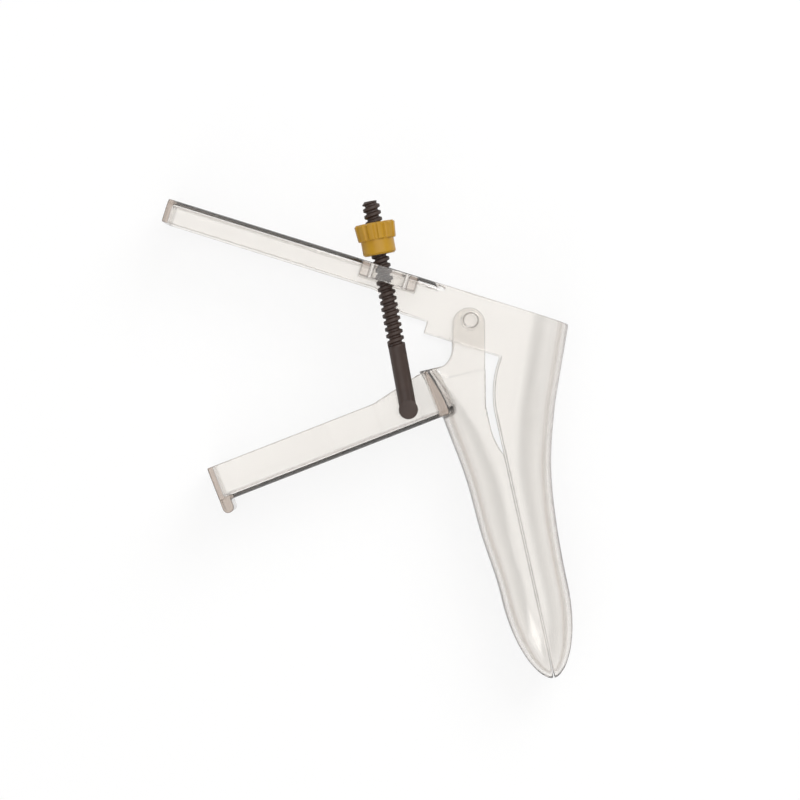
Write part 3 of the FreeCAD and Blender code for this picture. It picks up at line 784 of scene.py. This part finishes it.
def upper_parts(shared, blades, u, screw):
    """The upper valve's overlapping parts."""
    lift = shared.side_half
    inside = shared.side_half - shared.wall
    rows = [
        (-u.reach, u.depth, shared.end_half),
        (-shared.waist, u.depth, shared.side_half),
        (-u.flange_start, u.depth, shared.side_half),
        (-u.cheek_start, u.cheek_depth, shared.side_half),
        (u.window_corner - u.window_foot, u.cheek_depth, shared.side_half),
    ]
    rows = [(along, u.back - depth, u.back, half) for along, depth, half in rows]
    foot, corner = u.window_foot, u.window_corner
    window = outline(
        (0.0, lift - inside),
        (0.0, lift + inside),
        (corner - foot, lift + inside),
        (-foot, lift + inside - corner, corner, 1),
        (-foot, lift - inside + corner),
        (corner - foot, lift - inside, corner, 1),
    )
    window = across_handle(slab(window, u.back - shared.corner, u.back + shared.corner), u.angle)
    end = [
        (along, u.back - u.depth, u.back, shared.end_half)
        for along in (-u.reach, shared.end_plate - u.reach)
    ]
    parts = [
        combined(channel(rows, u.angle, shared), "DIFFERENCE", window),
        block(end, u.angle, shared),
    ]

    # The plates' last corner lies inside the collar's wall, at this share of its straight sides
    in_collar = 0.9
    rim = shared.seam + shared.seam_gap / 2
    plate = outline(
        turned(-u.plate_foot, u.back, u.angle),
        turned(-u.plate_foot, -u.plate_front, u.angle),
        turned(u.plate_top, -u.plate_front, u.angle),
        (blades.base, rim, u.rim_radius, 1),
        (blades.base, rim + (blades.upper_base - u.collar_round) / 2),
        turned((u.window_top - u.collar_round) * in_collar, u.back, u.angle),
        steps=40,
    )
    for side in (1, -1):
        low, high = sorted((lift + inside * side, lift + shared.side_half * side))
        parts.append(slab(plate, low, high, [ring(shared.stud_hole, steps=64)]))

    heights = (blades.upper_base, blades.upper_throat, blades.upper_middle, blades.upper_fore)
    stations = blade_stations(blades, heights, shared.side_half, u.collar_round)
    parts.append(blade(shared, blades, stations, 1, lambda x: rim))

    # The collar runs from the window's arch, which lies in the handle's back, to the blade's root
    steps = 12
    across = u.angle - math.radians(90)
    collar = []
    for inset in (0.0, shared.wall):
        half, corner = shared.side_half - inset, u.collar_round - inset
        at_window = arch(u.plate_top, u.window_top - inset, half, corner)
        at_root = arch(rim, shared.seam + blades.upper_base - inset, half, corner)
        first = stand(at_window, across, *turned(0.0, u.back, u.angle), lift)
        last = stand(at_root, 0.0, blades.base, 0.0, lift)
        pairs = list(zip(first, last))
        collar.append([[a.lerp(b, i / steps) for a, b in pairs] for i in range(steps + 1)])
    parts.append(shell(*collar))

    slot_half = screw.crest + u.slot_gap
    middle = lift + screw_height(shared, screw)
    top = middle + slot_half + u.bracket_wall
    far = u.bracket_end - u.bracket_far + slot_half
    near = -u.bracket_near - u.bracket_end - slot_half
    slot = outline(
        (near, middle - slot_half),
        (near + slot_half, middle, slot_half, 1),
        (near, middle + slot_half, slot_half, 1),
        (far, middle + slot_half),
        (far - slot_half, middle, slot_half, 1),
        (far, middle - slot_half, slot_half, 1),
    )
    frame_outline = [
        (-u.bracket_far, lift + inside),
        (-u.bracket_near, lift + inside),
        (-u.bracket_near, top),
        (-u.bracket_far, top),
    ]
    bracket = slab(frame_outline, u.bracket_low, u.bracket_high, [slot])
    parts.append(across_handle(bracket, u.angle))
    return parts


def screw_height(shared, screw):
    """The screw's axis over the valves' middle plane."""
    return shared.side_half + screw.gap + screw.crest


def screw_eye(shared, screw, low):
    """The middle of the screw's eye."""
    x, y = turned(screw.down, screw.out, -low.angle)
    return Vector((x, y, shared.side_half + screw_height(shared, screw)))


def funnel_rim(shared, low):
    """The height of the lower valve's top edge, which dips where the valves part near the pivot."""
    foot = shared.seam - shared.seam_gap / 2
    dip = low.relief_depth - shared.seam_gap / 2
    run = low.blades_meet - low.relief_end
    radius = (run * run + dip * dip) / (2 * dip)

    def height(x):
        if x < low.relief_start or x > low.blades_meet:
            return foot
        if x < low.relief_floor:
            return foot - dip * (x - low.relief_start) / (low.relief_floor - low.relief_start)
        if x < low.relief_end:
            return foot - dip
        return foot - dip + radius - math.sqrt(radius**2 - (x - low.relief_end) ** 2)

    return height


def lower_parts(shared, blades, low, screw):
    """The lower valve's overlapping parts."""
    lift = shared.side_half
    angle = -low.angle
    arm_half = shared.side_half - shared.wall - shared.arm_gap
    knee_half = (arm_half + shared.side_half) / 2
    rows = [
        (low.reach, low.rim, shared.end_half),
        (shared.waist, low.rim, shared.side_half),
        (low.knee_start, low.rim, shared.side_half),
        (low.knee_end, low.knee_rim, knee_half),
        (low.knee_top, low.knee_rim, arm_half),
    ]
    rows = [(along, rim, low.back, half) for along, rim, half in rows]
    end = [
        (along, low.rim, low.back, shared.end_half)
        for along in (low.reach, low.reach - shared.end_plate)
    ]
    parts = [channel(rows, angle, shared), block(end, angle, shared)]

    tip, root = low.back + low.hook_reach, low.back - shared.web / 2
    hook = outline(
        (low.reach, root),
        (low.reach, tip - low.hook_round),
        (low.reach - low.hook_round, tip, low.hook_round, 1),
        (low.reach - low.hook_thick + low.hook_round, tip),
        (low.reach - low.hook_thick, tip - low.hook_round, low.hook_round, 1),
        (low.reach - low.hook_thick, root),
    )
    hook = [turned(p[0], p[1], angle) for p in hook]
    parts.append(slab(hook, lift - shared.end_half, lift + shared.end_half))

    heights = (blades.lower_base, blades.lower_throat, blades.lower_middle, blades.lower_fore)
    stations = [
        (low.funnel_rear, arm_half, low.rear_depth, low.rear_round),
        (low.funnel_mid, arm_half + shared.arm_gap, low.mid_depth, low.mid_round),
        *blade_stations(blades, heights, blades.throat_half, low.base_round),
    ]
    rim = funnel_rim(shared, low)
    parts.append(blade(shared, blades, stations, -1, rim))

    # The handle's thick root, less the funnel's hollow, whose first sections reach past it
    hollow_sections = 30
    root_rows = [
        (low.floor_under, low.knee_rim, low.back, knee_half),
        (low.knee_top, low.knee_rim, low.back, arm_half),
    ]
    over_seam = shared.seam + shared.wall
    hollow = blade_rows(shared, blades, stations, -1, lambda x: over_seam, shared.wall)
    root = block(root_rows, angle, shared)
    parts.append(combined(root, "DIFFERENCE", solid(hollow[:hollow_sections])))

    tilt = -low.ear_angle
    under, over = -low.ear_drop - low.ear_radius, low.ear_radius - low.ear_drop
    bend_x, bend_y = turned(low.arm_run, under, tilt)
    heel_x = bend_x + low.arm_hollow * (1 - math.sin(low.ear_angle))
    heel_y = bend_y - low.arm_hollow * math.cos(low.ear_angle)
    arm = outline(
        turned(low.ear_offset, over, tilt),
        (*turned(low.ear_offset - low.ear_radius, -low.ear_drop, tilt), low.ear_radius, 1),
        (*turned(low.ear_offset, under, tilt), low.ear_radius, 1),
        (bend_x, bend_y),
        (heel_x, heel_y, low.arm_hollow, -1),
        (low.arm_end, heel_y + low.arm_hollow / 2),
        (low.arm_end, shared.seam - shared.seam_gap / 2),
        steps=24,
    )
    for side in (1, -1):
        face, back = arm_half * side, (arm_half - low.arm_wall) * side
        end = (shared.side_half - shared.stud_recess) * side
        stud = ring(shared.stud_radius, steps=64)
        parts.append(slab(arm, *sorted((lift + face, lift + back))))
        parts.append(slab(stud, *sorted((lift + back, lift + end))))

    eye = screw_eye(shared, screw, low)
    seat = eye.z - screw.eye_half - screw.peg_gap
    top = eye.z + screw.eye_half - screw.eye_cap - screw.peg_gap
    neck = top - low.peg_head_height
    shoulder = ring(low.peg_shoulder, eye.x, eye.y)
    parts.append(slab(shoulder, lift + shared.side_half - shared.wall, seat))
    parts.append(slab(ring(screw.peg_radius, eye.x, eye.y), seat - shared.wall, neck))
    head = ((neck, low.peg_head), (top, screw.peg_radius))
    parts.append(round_solid(head, eye.x, eye.y))
    return parts


def groove_depth(screw, x, turn):
    """Depth of the thread's groove at x along the screw and at this share of a turn round it."""
    first = screw.shank + screw.groove_mouth
    wraps = (x - first) / screw.pitch - turn
    nearest = max(round(wraps), 0)
    away = abs(wraps - nearest) * screw.pitch
    slope = (screw.groove_mouth - away) / (screw.groove_mouth - screw.groove_floor)
    slope = min(max(slope, 0.0), 1.0)
    return screw.thread_depth * slope * slope * (3 - 2 * slope)


def thread_sections(screw, steps):
    """Rings along the screw's thread, which winds right-handed."""
    rings_a_turn = 20
    run = screw.length - screw.shank
    rings = round(run / screw.pitch * rings_a_turn)
    sections = []
    for i in range(rings + 1):
        x = screw.shank + run * i / rings
        limit = screw.crest - max(x - (screw.length - screw.tip_chamfer), 0.0)
        radii = [min(screw.crest - groove_depth(screw, x, j / steps), limit) for j in range(steps)]
        sections.append(round_section(x, radii))
    return sections


def round_section(x, radii):
    """A ring of points round X, with a radius for each."""
    turns = [math.tau * j / len(radii) for j in range(len(radii))]
    return [Vector((x, r * math.cos(t), r * math.sin(t))) for r, t in zip(radii, turns)]


def screw_mesh(screw, low):
    """The screw along X from its eye, whose socket for the peg's head is open only underneath."""
    steps = 64
    around_eye = 1.01
    shank = [round_section(x, [screw.shank_radius] * steps) for x in (0.0, screw.shank)]
    rod = solid(shank + thread_sections(screw, steps))
    over, far = screw.eye_half, 2 * screw.eye_half
    clear = ring(screw.eye_radius * around_eye, steps=steps)
    rod = combined(rod, "DIFFERENCE", slab(clear, over, far), slab(clear, -far, -over))
    eye = slab(ring(screw.eye_radius, steps=steps), -over, over)
    top = over - screw.eye_cap
    undercut = top - low.peg_head_height - 2 * screw.peg_gap
    hole, head = screw.peg_radius + screw.peg_gap, low.peg_head + screw.peg_gap
    levels = ((-far, hole), (undercut, hole), (undercut, head), (top, hole))
    socket = round_solid(levels, steps=steps)
    return combined(combined(rod, "UNION", eye), "DIFFERENCE", socket)


def nut_mesh(screw):
    """The nut along X from its seat: a plain body, then a fluted grip, round a bore."""
    steps, grip_rings = 192, 8
    # This power makes a flute's walls steeper than a wave's
    steep = 0.7
    bore = screw.crest + screw.nut_gap
    body, edge = screw.nut_body_height, screw.nut_edge
    top = body + screw.nut_grip_height
    mouth = screw.crest + 1.2 * MM
    # (along, radius, 1 where the flutes are)
    shape = [(0.0, bore, 0), (0.0, screw.nut_body - edge, 0), (edge, screw.nut_body, 0)]
    shape += [(body, screw.nut_body, 0), (body, screw.nut_base - edge / 2, 1)]
    for i in range(grip_rings + 1):
        x = body + edge / 2 + (screw.nut_grip_height - edge * 1.5) * i / grip_rings
        radius = screw.nut_base + (screw.nut_grip - screw.nut_base) * i / grip_rings
        shape.append((x, radius, 1))
    shape += [(top, screw.nut_grip - edge, 1), (top, mouth, 0), (top, bore, 0)]
    waves = [math.cos(math.tau * screw.flutes * j / steps) for j in range(steps)]
    dips = [screw.flute_depth * max(wave, 0.0) ** steep for wave in waves]
    points, faces = [], []
    for i, (x, radius, fluted) in enumerate(shape):
        points += round_section(x, [radius - dip * fluted for dip in dips])
        faces += around(i * steps, (i + 1) % len(shape) * steps, steps)
    return mesh_from(points, faces)


def on_screw_axis(mesh, shared, screw, low, along):
    """Move a mesh drawn along X to its place on the screw's axis."""
    eye = Matrix.Translation(screw_eye(shared, screw, low))
    mesh.transform(eye @ Matrix.Rotation(screw.angle, 4, "Z") @ Matrix.Translation((along, 0, 0)))
    return mesh


# The stage


def faded(tree, value, start, end):
    """A smooth fall from one at start to nothing at end."""
    fall = {"Value": value, "From Min": start, "From Max": end, "To Min": 1.0, "To Max": 0.0}
    return add_node(tree, "ShaderNodeMapRange", fall, interpolation_type="SMOOTHSTEP")


def white_to_the_eye(tree, shader, glow, strength, ceiling=None):
    """Mix a shader with a glow that only the camera, reflections and see-through rays meet.

    The ceiling is a pair of heights of a direction of length one. From the first to the second the
    glow fades out for reflections and see-through rays, and only the camera meets it higher up.
    """
    path = add_node(tree, "ShaderNodeLightPath")
    through = {0: (path, "Is Glossy Ray"), 1: (path, "Is Transmission Ray")}
    shown = add_node(tree, "ShaderNodeMath", through, operation="MAXIMUM")
    if ceiling:
        direction = add_node(tree, "ShaderNodeTexCoord")
        height = add_node(tree, "ShaderNodeSeparateXYZ", {0: (direction, "Generated")})
        below = faded(tree, (height, "Z"), *ceiling)
        both = {0: (shown, 0), 1: (below, 0)}
        shown = add_node(tree, "ShaderNodeMath", both, operation="MULTIPLY")
    seen = {0: (path, "Is Camera Ray"), 1: (shown, 0)}
    seen = add_node(tree, "ShaderNodeMath", seen, operation="MAXIMUM")
    amount = add_node(tree, "ShaderNodeMath", {0: (seen, 0), 1: strength}, operation="MULTIPLY")
    return add_node(tree, "ShaderNodeMixShader", {0: (amount, 0), 1: (shader, 0), 2: (glow, 0)})


def build_floor(finishes):
    """White paper, swept out of sight on all sides. It keeps the object's soft shadow."""
    under_part = -0.2 * MM
    bpy.ops.mesh.primitive_plane_add(size=6.0, location=(0, 0, under_part))
    floor = bpy.context.active_object
    floor.name = "floor"
    material, tree = new_material("white_paper_matt")
    paper = add_node(tree, "ShaderNodeBsdfDiffuse", {"Color": finishes.floor})
    glow = add_node(tree, "ShaderNodeEmission", {"Color": finishes.floor, "Strength": 1.0})
    mixed = white_to_the_eye(tree, paper, glow, strength=0.82)
    add_node(tree, "ShaderNodeOutputMaterial", {"Surface": (mixed, "Shader")})
    floor.data.materials.append(material)


def build_world(scene, finishes):
    """White walls to the eye and in the plastic, under a dimmer ceiling that shapes the blades."""
    world = bpy.data.worlds.new("studio")
    scene.world = world
    world.use_nodes = True
    tree = world.node_tree
    tree.nodes.clear()
    dim = add_node(tree, "ShaderNodeBackground", {"Color": finishes.dim, "Strength": 0.55})
    glow = add_node(tree, "ShaderNodeBackground", {"Color": finishes.floor, "Strength": 1.0})
    mixed = white_to_the_eye(tree, dim, glow, strength=1.0, ceiling=(0.15, 0.7))
    add_node(tree, "ShaderNodeOutputWorld", {"Surface": (mixed, "Shader")})


def fade_out(lamp, core):
    """Let a softbox fade from its core, a share of its side, to its border, as its cloth does."""
    lamp.use_nodes = True
    tree = lamp.node_tree
    tree.nodes.clear()
    place = add_node(tree, "ShaderNodeNewGeometry")
    away = {0: (place, "Parametric"), 1: (0.5, 0.5, 0.0)}
    away = add_node(tree, "ShaderNodeVectorMath", away, operation="DISTANCE")
    fade = faded(tree, (away, "Value"), core, 0.5)
    glow = add_node(tree, "ShaderNodeEmission", {"Strength": (fade, "Result")})
    add_node(tree, "ShaderNodeOutputLight", {"Surface": (glow, "Emission")})


def build_lamps(stage):
    """Three softboxes turned towards the part: (name, place, side, core, power).

    The one overhead has a soft border, which the blades' round sides mirror as a soft shading.
    """
    middle = Vector((0.02, -0.02, 0.0))
    for name, place, side, core, power in (
        ("key", (-0.55, 0.6, 0.9), 0.7, None, stage.key),
        ("fill", (0.7, -0.45, 0.8), 0.8, None, stage.fill),
        ("top", (0.02, -0.02, 1.25), 2.0, 0.14, stage.top),
    ):
        data = bpy.data.lights.new(name, "AREA")
        data.energy = power
        data.size = side
        if core:
            fade_out(data, core)
        lamp = new_object(name, data)
        lamp.location = place
        lamp.rotation_euler = (middle - Vector(place)).to_track_quat("-Z", "Y").to_euler()


def build_camera(scene, stage):
    """Look straight down the pivot's axis, with the picture turned and framed as in the photo."""
    down = stage.blades_down
    right = Vector((math.cos(down), math.sin(down), 0))
    up = Vector((-math.sin(down), math.cos(down), 0))
    shift_right = (PICTURE / 2 - stage.pivot_column) * stage.pixel
    shift_up = (stage.pivot_row - PICTURE / 2) * stage.pixel
    data = bpy.data.cameras.new("camera")
    data.sensor_width = 36.0
    data.lens = data.sensor_width * stage.height / (PICTURE * stage.pixel)
    data.clip_end = 20.0
    camera = new_object("camera", data)
    place = right * shift_right + up * shift_up
    place.z = scene.speculum_shared.side_half + stage.height
    turn = Matrix((right, up, Vector((0, 0, 1)))).transposed()
    camera.matrix_world = Matrix.Translation(place) @ turn.to_4x4()
    scene.camera = camera


# Operators


class SPECULUM_OT_upper_valve(bpy.types.Operator):
    """Build the upper valve: handle, side plates, collar, blade and bracket"""

    bl_idname = "speculum.upper_valve"
    bl_label = "Upper valve"

    def execute(self, context):
        s = context.scene
        shared, upper = s.speculum_shared, s.speculum_upper
        parts = upper_parts(shared, s.speculum_blades, upper, s.speculum_screw)
        item = mould("upper_valve_skin", parts, upper.angle, shared)
        dress(item, clear_polystyrene(s.speculum_finishes), "upper", "clear_plastic", "upper_valve")
        return {"FINISHED"}


class SPECULUM_OT_lower_valve(bpy.types.Operator):
    """Build the lower valve: handle, hook, funnel, blade, arms and peg"""

    bl_idname = "speculum.lower_valve"
    bl_label = "Lower valve"

    def execute(self, context):
        s = context.scene
        shared, lower = s.speculum_shared, s.speculum_lower
        parts = lower_parts(shared, s.speculum_blades, lower, s.speculum_screw)
        item = mould("lower_valve_skin", parts, -lower.angle, shared)
        dress(item, clear_polystyrene(s.speculum_finishes), "lower", "clear_plastic", "lower_valve")
        return {"FINISHED"}


class SPECULUM_OT_screw(bpy.types.Operator):
    """Build the side screw: eye, shank and thread"""

    bl_idname = "speculum.screw"
    bl_label = "Screw"

    def execute(self, context):
        s = context.scene
        screw, lower = s.speculum_screw, s.speculum_lower
        mesh = on_screw_axis(screw_mesh(screw, lower), s.speculum_shared, screw, lower, 0.0)
        item = bevelled(new_object("screw_skin", mesh), width=0.3 * MM, sharper_than=50)
        shade_smooth(item, limit=40)
        dress(item, dark_polyamide(s.speculum_finishes), "screw", "screw_plastic", "screw_rod")
        return {"FINISHED"}


class SPECULUM_OT_nut(bpy.types.Operator):
    """Build the nut with its fluted grip"""

    bl_idname = "speculum.nut"
    bl_label = "Nut"

    def execute(self, context):
        s = context.scene
        screw, lower = s.speculum_screw, s.speculum_lower
        mesh = on_screw_axis(nut_mesh(screw), s.speculum_shared, screw, lower, screw.nut_stand)
        item = new_object("nut_skin", mesh)
        shade_smooth(item, limit=35)
        dress(item, yellow_polypropylene(s.speculum_finishes), "lock_nut", "nut_plastic", "nut")
        return {"FINISHED"}


class SPECULUM_OT_stage(bpy.types.Operator):
    """Set up the floor, lamps, backdrop and camera"""

    bl_idname = "speculum.stage"
    bl_label = "Stage"

    def execute(self, context):
        s = context.scene
        build_floor(s.speculum_finishes)
        build_world(s, s.speculum_finishes)
        build_lamps(s.speculum_stage)
        build_camera(s, s.speculum_stage)
        s.view_settings.view_transform = "Standard"
        return {"FINISHED"}


class SPECULUM_PT_panel(bpy.types.Panel):
    """The speculum's pieces"""

    bl_label = "Speculum"
    bl_idname = "SPECULUM_PT_panel"
    bl_space_type = "VIEW_3D"
    bl_region_type = "UI"
    bl_category = "Speculum"

    def draw(self, context):
        for operator in OPERATORS:
            self.layout.operator(operator.bl_idname)


GROUPS = {
    "speculum_shared": SharedSizes,
    "speculum_blades": BladeSizes,
    "speculum_upper": UpperSizes,
    "speculum_lower": LowerSizes,
    "speculum_screw": ScrewSizes,
    "speculum_finishes": Finishes,
    "speculum_stage": StageSettings,
}
OPERATORS = (
    SPECULUM_OT_upper_valve,
    SPECULUM_OT_lower_valve,
    SPECULUM_OT_screw,
    SPECULUM_OT_nut,
    SPECULUM_OT_stage,
)


def register():
    """Make the settings, operators and panel known to Blender."""
    for cls in (*GROUPS.values(), *OPERATORS, SPECULUM_PT_panel):
        bpy.utils.register_class(cls)
    for name, group in GROUPS.items():
        setattr(bpy.types.Scene, name, PointerProperty(type=group))


def unregister():
    """Take back what register did."""
    for name in GROUPS:
        delattr(bpy.types.Scene, name)
    for cls in (SPECULUM_PT_panel, *OPERATORS, *GROUPS.values()):
        bpy.utils.unregister_class(cls)


def main():
    """Build the whole scene."""
    register()
    bpy.ops.speculum.upper_valve()
    bpy.ops.speculum.lower_valve()
    bpy.ops.speculum.screw()
    bpy.ops.speculum.nut()
    bpy.ops.speculum.stage()


if __name__ == "__main__":
    main()
